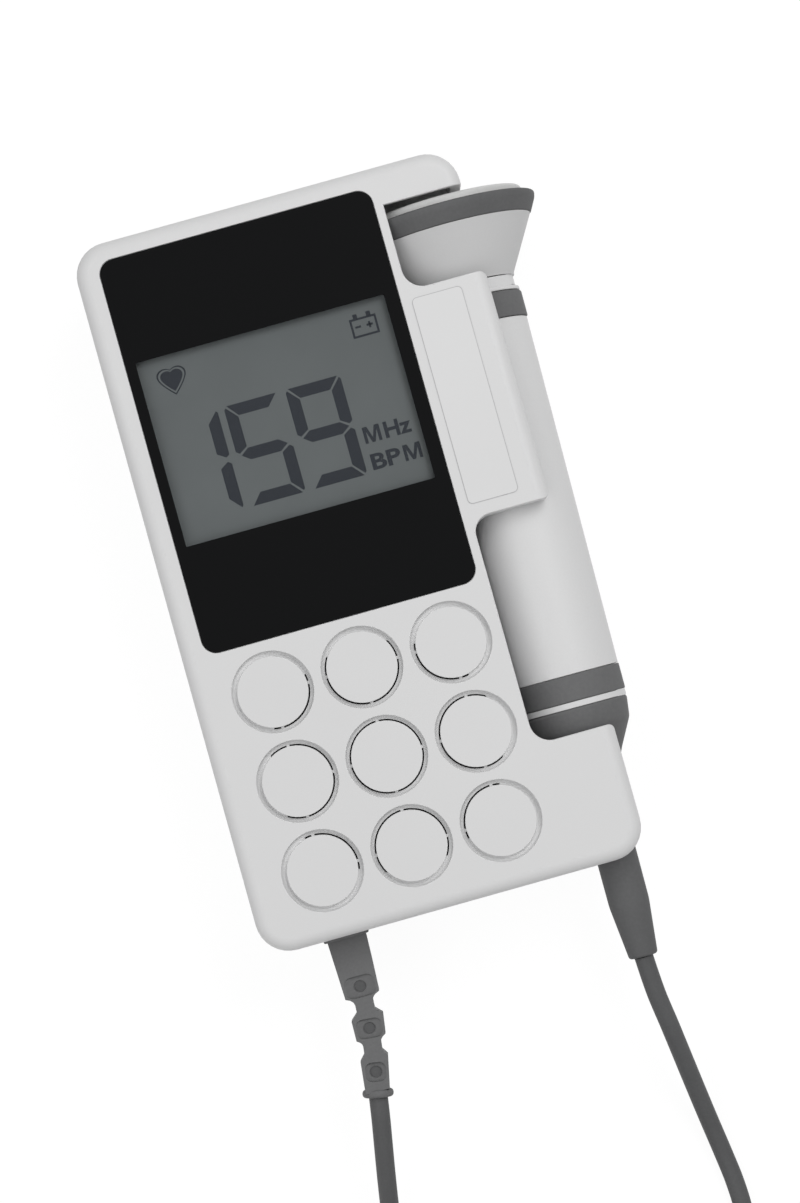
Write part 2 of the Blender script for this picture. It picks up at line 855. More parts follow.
def rounded_outline(low: Flat, high: Flat, radius: float, steps: int = 8) -> list[Flat]:
    """Return the points of a rectangle with rounded corners.

    Args:
        low: Lower left corner.
        high: Upper right corner.
        radius: Radius of the corners.
        steps: Steps in each corner.

    Returns:
        The points, anticlockwise.
    """
    centres = [(high[0] - radius, high[1] - radius, 0), (low[0] + radius, high[1] - radius, 90),
               (low[0] + radius, low[1] + radius, 180), (high[0] - radius, low[1] + radius, 270)]
    return [(x + radius * math.cos(math.radians(start + 90 * i / steps)),
             y + radius * math.sin(math.radians(start + 90 * i / steps)))
            for x, y, start in centres for i in range(steps + 1)]


# ------------------------------------------------------------------ placing


class Workshop:
    """Turns finished forms into objects that ride on the frame, and reports each one."""

    made: int = 0

    @classmethod
    def place(cls, bm: Mesh, name: str, finish: Finish, body: Optional[str], nodes: Sequence[str] = (),
              crease: float = 32.0, matrix: Optional[Matrix] = None) -> Piece:
        """Make an object of a form, with its place in its mesh.

        Args:
            bm: Form in millimetres; it is freed.
            name: Name of the piece.
            finish: Finish of the piece.
            body: CAD body that it rides on, or None if it is blended later.
            nodes: CAD nodes that it stands for.
            crease: Angle in degrees above which an edge is sharp.
            matrix: Move in millimetres before it is placed.

        Returns:
            The object.
        """
        if matrix is not None:
            Form.moved(bm, matrix)
        bmesh.ops.scale(bm, vec=(METRES, METRES, METRES), verts=bm.verts)
        mesh = bpy.data.meshes.new(name)
        bm.to_mesh(mesh)
        bm.free()
        mesh.polygons.foreach_set("use_smooth", [True] * len(mesh.polygons))
        mesh.set_sharp_from_angle(angle=math.radians(crease))
        mesh.materials.append(finish.material())
        obj = link(bpy.data.objects.new(name, mesh))
        weighted = obj.modifiers.new("face_weighted_normals", "WEIGHTED_NORMAL")
        weighted.keep_sharp = True
        if nodes:
            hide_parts(*nodes)
        if body:
            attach(obj, body)
        cls.made += 1
        LOG.info("%s: %d faces, %s", name, len(mesh.polygons), finish.name)
        return obj

    @staticmethod
    def dress(**finishes: Finish) -> None:
        """Give CAD nodes that keep their shape a finish.

        Args:
            **finishes: The finish of each node, by the node's name.
        """
        for node, finish in finishes.items():
            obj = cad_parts[node]
            for held in obj.material_slots:
                held.material = finish.material()
            LOG.info("%s: CAD shape, %s", node, finish.name)


# ------------------------------------------------------------------ camera and room


@dataclass
class PhotoCamera:
    """Camera that was fitted to the photograph."""

    tilt_deg: tuple[float, float, float] = (-2.264, -0.845, -15.618)
    place: Point = (-5.235, -39.35, 734.95)
    lens: float = 109.5
    sensor: float = 36.0

    def build(self) -> Piece:
        """Make the camera and use it for the scene.

        Returns:
            The camera.
        """
        rx, ry, rz = (math.radians(a) for a in self.tilt_deg)
        seen = Matrix.Rotation(rz, 3, "Z") @ Matrix.Rotation(ry, 3, "Y") @ Matrix.Rotation(rx, 3, "X")
        flip = Matrix.Diagonal((1, -1, -1))
        data = bpy.data.cameras.new("photo_camera")
        data.lens = self.lens
        data.sensor_width = self.sensor
        camera = link(bpy.data.objects.new("photo_camera", data))
        camera.matrix_world = (Matrix.Translation(Vector(self.place) * METRES)
                               @ (flip @ seen @ flip).transposed().to_4x4())
        bpy.context.scene.camera = camera
        LOG.info("camera: lens %.1f mm", self.lens)
        return camera


@dataclass
class Studio:
    """Pale floor, soft lamps and an even world."""

    floor_half: float = 4000.0
    floor_drop: float = 0.02
    floor_glow: float = 1.06
    floor_share: float = 0.88
    world_level: float = 0.4
    lamps: Sequence[tuple[str, Point, float, float]] = (
        ("key_lamp", (290.0, 250.0, 700.0), 400.0, 2.6),
        ("fill_lamp", (-380.0, -200.0, 720.0), 600.0, 1.6),
    )

    def build(self) -> None:
        """Make the floor, the lamps and the world."""
        self.floor()
        for name, spot, size, power in self.lamps:
            self.lamp(name, spot, size, power)
        self.world()
        bpy.context.scene.view_settings.view_transform = "Standard"
        LOG.info("studio: floor, %d lamps and world", len(self.lamps))

    def floor(self) -> None:
        """Make the floor, which is white to the camera and keeps the shadow."""
        bm = bmesh.new()
        bmesh.ops.create_grid(bm, x_segments=8, y_segments=8, size=self.floor_half * METRES)
        bmesh.ops.translate(bm, verts=bm.verts, vec=(0, 0, -self.floor_drop * METRES))
        mesh = bpy.data.meshes.new("studio_floor")
        bm.to_mesh(mesh)
        bm.free()
        floor = link(bpy.data.objects.new("studio_floor", mesh))
        s = Shading("floor_white")
        s.feed("Base Color", s.tones(s.noise(3.0), [(0.3, (0.8, 0.8, 0.8)), (0.7, (0.82, 0.82, 0.82))]))
        s.set(Roughness=0.9, Specular_IOR_Level=0.1)
        glow = s.tree.nodes.new("ShaderNodeEmission")
        glow.inputs["Strength"].default_value = self.floor_glow
        path = s.tree.nodes.new("ShaderNodeLightPath")
        share = s.tree.nodes.new("ShaderNodeMixShader")
        seen = s.combine(path.outputs["Is Camera Ray"], path.outputs["Is Glossy Ray"], "MAXIMUM")
        seen = s.combine(seen, path.outputs["Is Transmission Ray"], "MAXIMUM")
        s.tree.links.new(s.span(seen, 0.0, self.floor_share, 0.0, 1.0), share.inputs[0])
        s.tree.links.new(s.shader.outputs[0], share.inputs[1])
        s.tree.links.new(glow.outputs[0], share.inputs[2])
        s.tree.links.new(share.outputs[0], s.out.inputs[0])
        mesh.materials.append(s.material)

    def lamp(self, name: str, spot: Point, size: float, power: float) -> None:
        """Make one square soft lamp that points at the unit.

        Args:
            name: Name of the lamp.
            spot: Place of the lamp.
            size: Side of the lamp.
            power: Power in watts.
        """
        data = bpy.data.lights.new(name, "AREA")
        data.size = size * METRES
        data.energy = power
        lamp = link(bpy.data.objects.new(name, data))
        place = Vector(spot) * METRES
        aim = (Vector((0.0, 0.0, 0.0)) - place).to_track_quat("-Z", "Y")
        lamp.matrix_world = Matrix.Translation(place) @ aim.to_matrix().to_4x4()

    def world(self) -> None:
        """Make the even world light."""
        world = bpy.data.worlds.new("studio_world")
        world.use_nodes = True
        back = world.node_tree.nodes["Background"]
        back.inputs[0].default_value = (1.0, 1.0, 1.0, 1.0)
        back.inputs[1].default_value = self.world_level
        bpy.context.scene.world = world


# ------------------------------------------------------------------ lead


def smooth_through(points: Sequence[Vector], steps: int) -> list[Vector]:
    """Run a smooth line through points.

    Args:
        points: Points of the line.
        steps: Steps between two points.

    Returns:
        The points of the smooth line.
    """
    line = []
    for i in range(len(points) - 1):
        p0, p1, p2 = points[max(i - 1, 0)], points[i], points[i + 1]
        p3 = points[min(i + 2, len(points) - 1)]
        for k in range(steps):
            t = k / steps
            line.append(0.5 * ((2 * p1) + (p2 - p0) * t + (2 * p0 - 5 * p1 + 4 * p2 - p3) * t * t
                               + (3 * p1 - p0 - 3 * p2 + p3) * t ** 3))
    return line + [points[-1]]


@dataclass
class Lead:
    """The thin grey lead between the unit and the probe, with its spare length in a tied coil."""

    diameter: float = 3.75
    length: float = 1242.0
    coil_middle: Flat = (3.0, -176.0)
    coil_inner: float = 11.2
    coil_pitch: float = 4.2
    coil_turns: float = 8.5
    coil_low: float = 2.575
    unit_run: Sequence[Point] = (
        (-24.727, -102.776, 18.9), (-25.4, -107, 18.5), (-26.5, -113, 16.6), (-27.7, -119.5, 12.8),
        (-28.8, -126, 8.4), (-29.7, -132.5, 4.6), (-30.3, -139, 2.5), (-30.3, -146, 1.9), (-29.5, -153, 1.9),
        (-28.2, -160, 1.9), (-26.7, -166.5, 2.2), (-26.05, -172.25, 2.575))
    probe_run: Sequence[Point] = (
        (32.05, -172.25, 6.775), (32.6, -166.5, 6), (34.6, -160, 4), (37.2, -153.5, 2.3), (38.7, -146.5, 1.9),
        (38.7, -140, 1.9), (37.9, -133, 2.4), (36.9, -126, 4.2), (35.9, -119, 7.4), (34.9, -112, 11.4),
        (33.9, -105, 15.4), (32.9, -98, 18.1), (32.444, -90.549, 18.9))
    blend_start: Point = (5.0, -125.0, 18.9)
    blend_end: Point = (33.0, -92.0, 18.9)
    tie_angles: Sequence[float] = (100.0, 280.0)
    tie_width: float = 4.0
    tie_thickness: float = 0.6
    tie_corner: float = 2.4
    tie_room: Point = (1.2, 1.0, 0.4)
    tie_lap: Flat = (5.0, 13.0)

    def coil_line(self) -> list[Vector]:
        """Return the line of the coil, which winds in below and out above.

        Returns:
            The points of the line.
        """
        steps = round(36 * self.coil_turns)
        line = []
        for i in range(steps + 1):
            turn = self.coil_turns * i / steps
            climb = min(max((turn - self.coil_turns / 2 + 0.25) / 0.5, 0.0), 1.0)
            radius = self.coil_inner + self.coil_pitch * abs(turn - self.coil_turns / 2)
            angle = math.pi + math.tau * turn
            line.append(Vector((self.coil_middle[0] + radius * math.cos(angle),
                                self.coil_middle[1] + radius * math.sin(angle),
                                self.coil_low + self.coil_pitch * climb * climb * (3 - 2 * climb))))
        return line

    def path(self) -> list[Vector]:
        """Return the whole line of the lead, from the strain relief to the probe's boot."""
        return (smooth_through([Vector(p) for p in self.unit_run], 5) + self.coil_line()
                + smooth_through([Vector(p) for p in self.probe_run], 5))

    def build(self) -> Piece:
        """Make the lead; its pieces are declared once they exist.

        Returns:
            The lead.
        """
        line = self.path()
        total = sum((b - a).length for a, b in zip(line, line[1:]))
        LOG.info("lead: %.1f mm along its line", total)
        return Workshop.place(Form.tube(line, self.diameter / 2), "lead", LEAD, None,
                              ("lead_unit_run", "lead_coil", "lead_probe_run"), crease=50.0)

    def declare(self, lead: Piece, pieces: Sequence[Piece]) -> None:
        """Args:
            lead: The lead.
            pieces: The pieces on it.
        """
        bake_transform(lead)

    def ties(self) -> Piece:
        """Make the two bands round the turns.

        Returns:
            The bands.
        """
        room_in, room_out, room_up = self.tie_room
        inner = self.coil_inner - self.diameter / 2 - room_in
        outer = self.coil_inner + self.coil_pitch * self.coil_turns / 2 + self.diameter / 2 + room_out
        top = self.coil_low + self.coil_pitch + self.diameter / 2 + room_up + self.tie_thickness
        middle = Matrix.Translation((*self.coil_middle, 0.0))
        bands = [Form.moved(self.band(inner, outer, top), middle @ Matrix.Rotation(math.radians(angle), 4, "Z"))
                 for angle in self.tie_angles]
        return Workshop.place(Form.join(bands), "lead_tie_bands", TIE, "unit", ("lead_ties",))

    def band(self, inner: float, outer: float, top: float) -> Mesh:
        """Make one band, which lies along X.

        Args:
            inner: Nearest point to the middle of the coil.
            outer: Farthest point from it.
            top: Height of the top.

        Returns:
            The band, with its end lapped over on top.
        """
        t, half = self.tie_thickness, self.tie_width / 2
        outside = rounded_outline((inner, 0.0), (outer, top), self.tie_corner)
        inside = rounded_outline((inner + t, t), (outer - t, top - t), self.tie_corner - t)
        band = Form.plate(outside, -half, half, [inside])
        start, end = self.tie_lap
        lap = Form.block((inner + start, top - t + 0.02, -half + 0.1), (inner + end, top + 0.02, half - 0.1), 0.0, 0.25)
        return Form.rotated(Form.join([band, lap]), math.pi / 2, "X")


@dataclass
class StrainRelief:
    """Segmented rubber strain relief that is clamped in the bottom end wall."""

    middle_x: float = -22.35
    wall_y: float = -70.5
    middle_z: float = 18.9
    thickness: float = 6.4
    bend: float = 0.0044
    straight: float = 9.0
    outline: Sequence[Flat] = (
        (0.4, 3.87), (6.0, 3.66), (12.4, 3.39), (12.8, 2.5), (13.3, 2.0), (13.9, 1.8), (15.5, 1.8), (16.8, 3.17),
        (20.7, 2.92), (21.1, 2.3), (21.5, 1.95), (21.95, 1.8), (23.6, 1.8), (24.8, 2.77), (31.2, 2.42))
    windows: Sequence[float] = (10.6, 18.9, 27.4)
    dishes: Sequence[Flat] = ((2.95, 2.15), (2.55, 1.95), (2.05, 1.95))
    dish_depth: float = 0.8
    dish_steps: int = 8
    dish_corner: float = 1.35
    dish_draft: float = 0.93
    hole_radius: float = 1.12
    hole_depth: float = 1.75
    core_depth: float = 1.12
    thin_from: float = 22.0
    thin_to: float = 0.8
    end: float = 31.0
    collar: float = 1.45
    rim_round: float = 0.16
    clamps: Sequence[tuple[float, float, float, float, float, float]] = (
        (4.5, 4.2, -0.9, -0.01, 1.2, 0.25), (3.0, 3.0, -0.5, 2.5, 0.6, 0.0), (4.5, 4.2, 2.1, 4.4, 1.0, 0.3))

    def middle(self, along: float) -> float:
        """Return X of the middle line at a length from the end wall."""
        return self.middle_x - self.bend * max(along - self.straight, 0.0) ** 2

    def turn(self, along: float) -> float:
        """Return the turn of the middle line at a length from the end wall, in radians."""
        return math.atan(2 * self.bend * max(along - self.straight, 0.0))

    def build(self) -> Piece:
        """Make the strain relief.

        Returns:
            The strain relief.
        """
        right = [(self.middle(s) + w, self.wall_y - s) for s, w in self.outline]
        left = [(self.middle(s) - w, self.wall_y - s) for s, w in reversed(self.outline)]
        half = self.thickness / 2
        body = Form.plate(right + left, self.middle_z - half, self.middle_z + half)
        rims = [e for e in body.edges if abs(e.verts[0].co.z - e.verts[1].co.z) < MERGE and e.calc_face_angle() > 1.0]
        Form.bevel(body, rims, self.rim_round, 2)
        self.thin(body)
        cores = []
        for along, dish in zip(self.windows, self.dishes):
            for side in (-1, 1):
                body = Form.cut(body, self.dish(along, side, dish))
                body = Form.cut(body, self.hole(along, side))
                cores.append(self.core(along, side))
        Workshop.place(Form.join(cores), "lead_in_relief", LEAD, "unit")
        return Workshop.place(Form.join([body, self.ring(), *self.clamp()]), "strain_relief", RELIEF, "unit",
                              ("lead_strain_relief",))

    def ring(self) -> Mesh:
        """Make the ring round the lead at the far end.

        Returns:
            The ring.
        """
        place = Matrix.Translation((self.middle(self.end), self.wall_y - self.end, self.middle_z))
        ring = Form.turned([(0.0, -0.6, 0.0), (2.3, -0.6, 0.0), (2.3, -0.15, 0.0), (3.05, -0.15, 0.68),
                            (3.05, self.collar, 0.68), (2.1, self.collar, 0.1), (0.0, self.collar, 0.0)], 40, False)
        return Form.moved(ring, place @ Matrix.Rotation(-self.turn(self.end), 4, "Z")
                          @ Matrix.Rotation(math.pi / 2, 4, "X"))

    def clamp(self) -> list[Mesh]:
        """Make the flange outside the end wall, the neck in it and the flange inside.

        Returns:
            The three blocks.
        """
        x, y, z = self.middle_x, self.wall_y, self.middle_z
        return [Form.block((x - half, y + low, z - tall), (x + half, y + high, z + tall), corner, edge, axis=1)
                for half, tall, low, high, corner, edge in self.clamps]

    def share(self, along: float) -> float:
        """Return the share of the thickness at a length from the end wall."""
        return 1.0 - (1.0 - self.thin_to) * min(max(along - self.thin_from, 0.0) / (self.end - self.thin_from), 1.0)

    def thin(self, body: Mesh) -> None:
        """Let the end of the body get thinner towards the collar.

        Args:
            body: Body of the strain relief.
        """
        for along in (self.thin_from, self.end):
            Form.sliced(body, (0, self.wall_y - along, 0), (0, 1, 0))
        for v in body.verts:
            v.co.z = self.middle_z + (v.co.z - self.middle_z) * self.share(self.wall_y - v.co.y)

    def placed(self, form: Mesh, along: float, side: int, axis: str) -> Mesh:
        """Move a form to the surface at a length along the strain relief.

        Args:
            form: Form round the origin, for the face side.
            along: Length from the end wall.
            side: 1 for the face side, -1 for the back.
            axis: Axis that the form is turned about for the back.

        Returns:
            The same form.
        """
        if side < 0:
            Form.rotated(form, math.pi, axis)
        lift = side * self.thickness / 2 * self.share(along)
        return Form.moved(form, Matrix.Translation((self.middle(along), self.wall_y - along, self.middle_z + lift))
                          @ Matrix.Rotation(-self.turn(along), 4, "Z"))

    def dish(self, along: float, side: int, size: Flat) -> Mesh:
        """Make the tool for one dished window.

        Args:
            along: Length from the end wall.
            side: 1 for the face side, -1 for the back.
            size: Half width and half length of the dish.

        Returns:
            The tool.
        """
        wide, long = size
        tool = Form.block((-wide, -long, -0.03), (wide, long, 0.3), self.dish_corner)
        for step in range(1, self.dish_steps):
            Form.sliced(tool, (wide * (2 * step / self.dish_steps - 1), 0, 0), (1, 0, 0))
        for v in tool.verts:
            if v.co.z < 0:
                v.co.z -= self.dish_depth * (1 - (v.co.x / wide) ** 2)
                v.co.y *= self.dish_draft
        return self.placed(tool, along, side, "Y")

    def core(self, along: float, side: int) -> Mesh:
        """Make the spot of the lead that shows at the bottom of a hole.

        Args:
            along: Length from the end wall.
            side: 1 for the face side, -1 for the back.

        Returns:
            The spot.
        """
        r = self.hole_radius - 0.01
        spot = Form.turned([(0.0, 0.01 - self.hole_depth, 0.0), (r, 0.01 - self.hole_depth, 0.0),
                            (r, -self.core_depth, 0.0), (0.0, 0.04 - self.core_depth, 0.0)], 48, False)
        return self.placed(spot, along, side, "X")

    def hole(self, along: float, side: int) -> Mesh:
        """Make the tool for the blind hole in a window.

        Args:
            along: Length from the end wall.
            side: 1 for the face side, -1 for the back.

        Returns:
            The tool.
        """
        r, floor = self.hole_radius, -self.dish_depth
        tool = Form.turned([(0.0, -self.hole_depth, 0.0), (r, -self.hole_depth, 0.0), (r, floor - 0.12, 0.0),
                            (r + 0.18, floor + 0.04, 0.0), (r + 0.18, 0.6, 0.0), (0.0, 0.6, 0.0)], 48, False)
        return self.placed(tool, along, side, "X")


# ------------------------------------------------------------------ case


@dataclass
class Casing:
    """Front shell, rear shell and battery door, from the CAD shapes with their edges rounded."""

    split_z: float = 18.9
    face_z: float = 35.0
    notch_x: float = 22.3
    grille_top: float = -10.0
    notch_round: float = 0.25
    rim_round: float = 0.1
    recess_round: float = 0.1
    split_round: float = 0.14
    opening_round: float = 0.3
    door_round: float = 0.2
    channel_x: float = 15.0
    slack: float = 0.02
    skin_slack: float = 0.03
    skin_depth: float = 7.0
    sharp_deg: float = 35.0

    def build(self) -> None:
        """Make the three pieces and dress the screws."""
        self.front()
        self.rear()
        self.door()
        Workshop.dress(case_screws=STEEL)

    def skin(self, bm: Mesh) -> set[Face]:
        """Find the faces on the outer skin of a convex case.

        Args:
            bm: Form of one shell.

        Returns:
            Its faces that have nothing of the form in front of them.
        """
        spots = [v.co.copy() for v in bm.verts]
        lows = [min(p[k] for p in spots) for k in range(3)]
        highs = [max(p[k] for p in spots) for k in range(3)]
        near = [p for p in spots
                if any(p[k] < lows[k] + self.skin_depth or p[k] > highs[k] - self.skin_depth for k in range(3))]
        found = set()
        for face in bm.faces:
            level = face.normal.dot(face.verts[0].co) + self.skin_slack
            if all(face.normal.dot(p) < level for p in near):
                found.add(face)
        return found

    def outer_edges(self, bm: Mesh) -> list[Edge]:
        """Find the sharp edges where the outer skin turns into an opening.

        Args:
            bm: Form of one shell.

        Returns:
            The edges.
        """
        skin = self.skin(bm)
        return [e for e in bm.edges if len(e.link_faces) == 2 and e.is_convex
                and sum(f in skin for f in e.link_faces) == 1 and e.calc_face_angle() > math.radians(self.sharp_deg)]

    def seam(self, bm: Mesh) -> list[Edge]:
        """Find the outer edges where the two shells meet.

        Args:
            bm: Form of one shell.

        Returns:
            The edges.
        """
        skin = self.skin(bm)
        rim = [e for e in bm.edges if all(abs(v.co.z - self.split_z) < self.slack for v in e.verts)]
        return [e for e in rim if any(f in skin and abs(f.normal.z) < 0.5 for f in e.link_faces)]

    def front(self) -> None:
        """Make the front shell."""
        bm = Form.cad_copy("front_case")
        notch, rims, recess, rest = [], [], [], []
        for edge in self.outer_edges(bm):
            middle = (edge.verts[0].co + edge.verts[1].co) / 2
            if middle.z < self.split_z + self.slack:
                continue
            if middle.x > self.notch_x:
                notch.append(edge)
            elif middle.z < self.face_z - self.slack:
                rest.append(edge)
            else:
                (rims if middle.y < self.grille_top else recess).append(edge)
        LOG.info("front shell edges: notch %d, rims %d, recess %d, rest %d", len(notch), len(rims), len(recess),
                 len(rest))
        for edges, width, steps in ((notch, self.notch_round, 3), (rims, self.rim_round, 3),
                                    (recess, self.recess_round, 2), (rest, self.opening_round, 2)):
            Form.bevel(bm, [e for e in edges if e.is_valid], width, steps)
        Form.bevel(bm, self.seam(bm), self.split_round, 1)
        Workshop.place(bm, "front_shell", CASE, "unit", ("front_case",))

    def rear(self) -> None:
        """Make the rear shell."""
        bm = Form.cad_copy("rear_case")
        rest = [e for e in self.outer_edges(bm) if min(v.co.x for v in e.verts) > self.channel_x
                and max(v.co.z for v in e.verts) < self.split_z - self.slack]
        Form.bevel(bm, rest, self.opening_round, 2)
        Form.bevel(bm, self.seam(bm), self.split_round, 1)
        bmesh.ops.triangulate(bm, faces=[f for f in bm.faces if len(f.verts) > 4], quad_method="BEAUTY",
                              ngon_method="BEAUTY")
        Workshop.place(bm, "rear_shell", CASE, "unit", ("rear_case",))

    def door(self) -> None:
        """Make the battery door."""
        bm = Form.cad_copy("battery_door")
        Form.bevel(bm, self.outer_edges(bm), self.door_round, 2)
        Workshop.place(bm, "battery_cover", CASE, "battery_door", ("battery_door",))


@dataclass
class ClipLabel:
    """Blank satin sticker on the probe clip."""

    middle: Flat = (27.8, 23.2)
    size: Flat = (10.0, 41.2)
    corner: float = 1.0
    base: float = 35.0
    thickness: float = 0.15
    cut_edge: float = 0.12

    def outline(self, inset: float, corner: float) -> list[Flat]:
        """Return the sticker's outline, drawn in on each side.

        Args:
            inset: How far it is drawn in.
            corner: Radius of its corners.

        Returns:
            Its points.
        """
        (x, y), (w, l) = self.middle, self.size
        return rounded_outline((x - w / 2 + inset, y - l / 2 + inset), (x + w / 2 - inset, y + l / 2 - inset), corner)

    def build(self) -> None:
        """Make the sticker and the cut edge that shows round it."""
        top = self.base + self.thickness
        rim = Form.plate(self.outline(0.0, self.corner), self.base, top - 0.03)
        Workshop.place(rim, "label_rim", LABEL_RIM, "unit")
        sheet = Form.plate(self.outline(self.cut_edge, self.corner - 0.1), self.base + 0.01, top)
        Workshop.place(sheet, "blank_label", LABEL, "unit", ("clip_label",))


# ------------------------------------------------------------------ display


class Segment(Enum):
    """The seven segments of a digit, by their usual letters."""

    TOP = "a"
    TOP_RIGHT = "b"
    LOW_RIGHT = "c"
    LOW = "d"
    LOW_LEFT = "e"
    TOP_LEFT = "f"
    MIDDLE = "g"


DIGITS = {
    1: (Segment.TOP_RIGHT, Segment.LOW_RIGHT),
    5: (Segment.TOP, Segment.TOP_LEFT, Segment.MIDDLE, Segment.LOW_RIGHT, Segment.LOW),
    9: (Segment.TOP, Segment.TOP_LEFT, Segment.TOP_RIGHT, Segment.MIDDLE, Segment.LOW_RIGHT, Segment.LOW),
}


@dataclass
class Display:
    """Black panel, clear lens, liquid crystal cell and what the cell shows."""

    panel_middle: Flat = (-6.4, 27.45)
    panel_size: Flat = (54.3, 78.4)
    panel_low: float = 34.6
    panel_top: float = 35.0
    panel_corner: float = 2.9
    window_middle: Flat = (-6.75, 27.75)
    window_size: Flat = (49.5, 36.7)
    lens_low: float = 33.2
    glass_size: Flat = (53.0, 44.0)
    glass_low: float = 30.3
    glass_top: float = 32.7
    ink: float = 0.02
    digit_size: Flat = (11.0, 19.96)
    digit_right: Sequence[float] = (-18.82, -6.536, 5.75)
    digit_low: float = 13.68
    shown: Sequence[int] = (1, 5, 9)

    def build(self) -> None:
        """Make the pieces of the display."""
        self.panel()
        self.lens()
        self.cell()
        self.digits()
        self.heart()
        self.battery_sign()
        self.units()
        Workshop.dress(lcd_backlight=LIGHT_GUIDE, lcd_frame=DISPLAY_FRAME)
        self.strips()

    def rectangle(self, middle: Flat, size: Flat, grow: float = 0.0) -> tuple[Flat, Flat]:
        """Return the corners of a rectangle.

        Args:
            middle: Its middle.
            size: Its width and length.
            grow: How much it grows on each side.

        Returns:
            Its lower left and upper right corners.
        """
        x, y = size[0] / 2 + grow, size[1] / 2 + grow
        return (middle[0] - x, middle[1] - y), (middle[0] + x, middle[1] + y)

    def panel(self) -> None:
        """Make the black panel with its window."""
        outside = rounded_outline(*self.rectangle(self.panel_middle, self.panel_size), self.panel_corner, 10)
        inside = rounded_outline(*self.rectangle(self.window_middle, self.window_size), 0.25, 3)
        bm = Form.plate(outside, self.panel_low, self.panel_top, [inside])
        rim = [e for e in bm.edges if all(v.co.z > self.panel_top - 1e-4 for v in e.verts)
               and e.is_manifold and e.calc_face_angle() > 1.0]
        Form.bevel(bm, rim, 0.06, 2)
        Workshop.place(bm, "panel_skin", PANEL, "unit", ("display_overlay",))

    def lens(self) -> None:
        """Make the clear lens under the panel."""
        low, high = self.rectangle(self.window_middle, self.window_size, 1.0)
        bm = Form.block((*low, self.lens_low), (*high, self.panel_low), 0.5, 0.08)
        Workshop.place(bm, "clear_window", LENS, "unit", ("display_lens",))

    def cell(self) -> None:
        """Make the liquid crystal cell, two glass sheets with a step for the contacts."""
        low, high = self.rectangle(self.window_middle, self.glass_size)
        lower = Form.block((*low, self.glass_low), (*high, self.glass_low + 1.15), 0.0, 0.08)
        upper = Form.block((*low, self.glass_low + 1.25), (*high, self.glass_top), 0.0, 0.08)
        Workshop.place(Form.join([lower, upper]), "crystal_cell", LCD, "unit", ("lcd_glass",))

    def segment(self, which: Segment) -> list[Flat]:
        """Return the corners of one segment inside the digit's rectangle.

        Args:
            which: Segment to draw.

        Returns:
            Its corners.
        """
        w, h = self.digit_size
        top = [(0.57, h), (w - 0.57, h), (w - 2.58, h - 2.3), (2.5, h - 2.3)]
        left = [(0.0, h - 0.75), (0.32, h - 0.36), (2.34, h - 2.56), (2.34, h - 8.5), (0.68, h - 9.55), (0.0, h - 9.05)]
        middle = [(0.9, h / 2), (2.5, h / 2 + 1.17), (w - 2.5, h / 2 + 1.17), (w - 0.9, h / 2),
                  (w - 2.5, h / 2 - 1.17), (2.5, h / 2 - 1.17)]
        shape = {Segment.TOP: top, Segment.LOW: top, Segment.MIDDLE: middle}.get(which, left)
        right = which in (Segment.TOP_RIGHT, Segment.LOW_RIGHT)
        low = which in (Segment.LOW, Segment.LOW_LEFT, Segment.LOW_RIGHT)
        return [(w - x if right else x, h - y if low else y) for x, y in shape]

    def inked(self, corners: Sequence[Flat], holes: Sequence[Sequence[Flat]] = ()) -> Mesh:
        """Return a flat mark on the liquid crystal cell."""
        return Form.plate(corners, self.glass_top, self.glass_top + self.ink, holes)

    def digits(self) -> None:
        """Make the three digits."""
        parts = []
        for digit, right in zip(self.shown, self.digit_right):
            left = right - self.digit_size[0]
            for which in DIGITS[digit]:
                parts.append(self.inked([(left + x, self.digit_low + y) for x, y in self.segment(which)]))
        Workshop.place(Form.join(parts), "lcd_digits", SEGMENT, "unit")

    def heart(self) -> None:
        """Make the heart, a solid one inside an outline."""
        curve = bpy.data.curves.new("heart", "CURVE")
        curve.dimensions = "2D"
        curve.fill_mode = "BOTH"
        curve.extrude = 0.5
        for size, lift in ((1.0, 0.0), (0.89, 0.012), (0.76, 0.03)):
            spline = curve.splines.new("BEZIER")
            spline.bezier_points.add(3)
            spline.use_cyclic_u = True
            spots = [((0.0, 0.74), (0.3, 1.06), (-0.3, 1.06)), ((-1.0, 0.4), (-1.0, 0.9), (-1.0, 0.0)),
                     ((0.0, -0.98), (-0.3, -0.7), (0.3, -0.7)), ((1.0, 0.4), (1.0, 0.0), (1.0, 0.9))]
            for point, (at, before, after) in zip(spline.bezier_points, spots):
                point.handle_left_type = point.handle_right_type = "FREE"
                point.co = (at[0] * size, at[1] * size + lift, 0.0)
                point.handle_left = (before[0] * size, before[1] * size + lift, 0.0)
                point.handle_right = (after[0] * size, after[1] * size + lift, 0.0)
        bm = Form.from_curve(curve, (-28.43, 38.36), (-22.65, 43.82), self.glass_top, self.glass_top + self.ink)
        Workshop.place(bm, "lcd_heart", SEGMENT, "unit")

    def battery_sign(self) -> None:
        """Make the battery symbol with its two poles."""
        z0, z1 = self.glass_top, self.glass_top + self.ink
        inside = [(10.65, 39.93), (15.07, 39.93), (15.07, 42.85), (10.65, 42.85)]
        parts = [self.inked([(10.22, 39.5), (15.5, 39.5), (15.5, 43.28), (10.22, 43.28)], [inside])]
        for low, high in (((11.1, 43.2), (11.95, 44.1)), ((13.7, 43.2), (14.6, 44.1)), ((11.05, 41.34), (12.2, 41.75)),
                          ((13.3, 41.3), (14.55, 41.72)), ((13.72, 40.88), (14.13, 42.13))):
            parts.append(Form.block((*low, z0), (*high, z1)))
        Workshop.place(Form.join(parts), "lcd_battery_sign", SEGMENT, "unit")

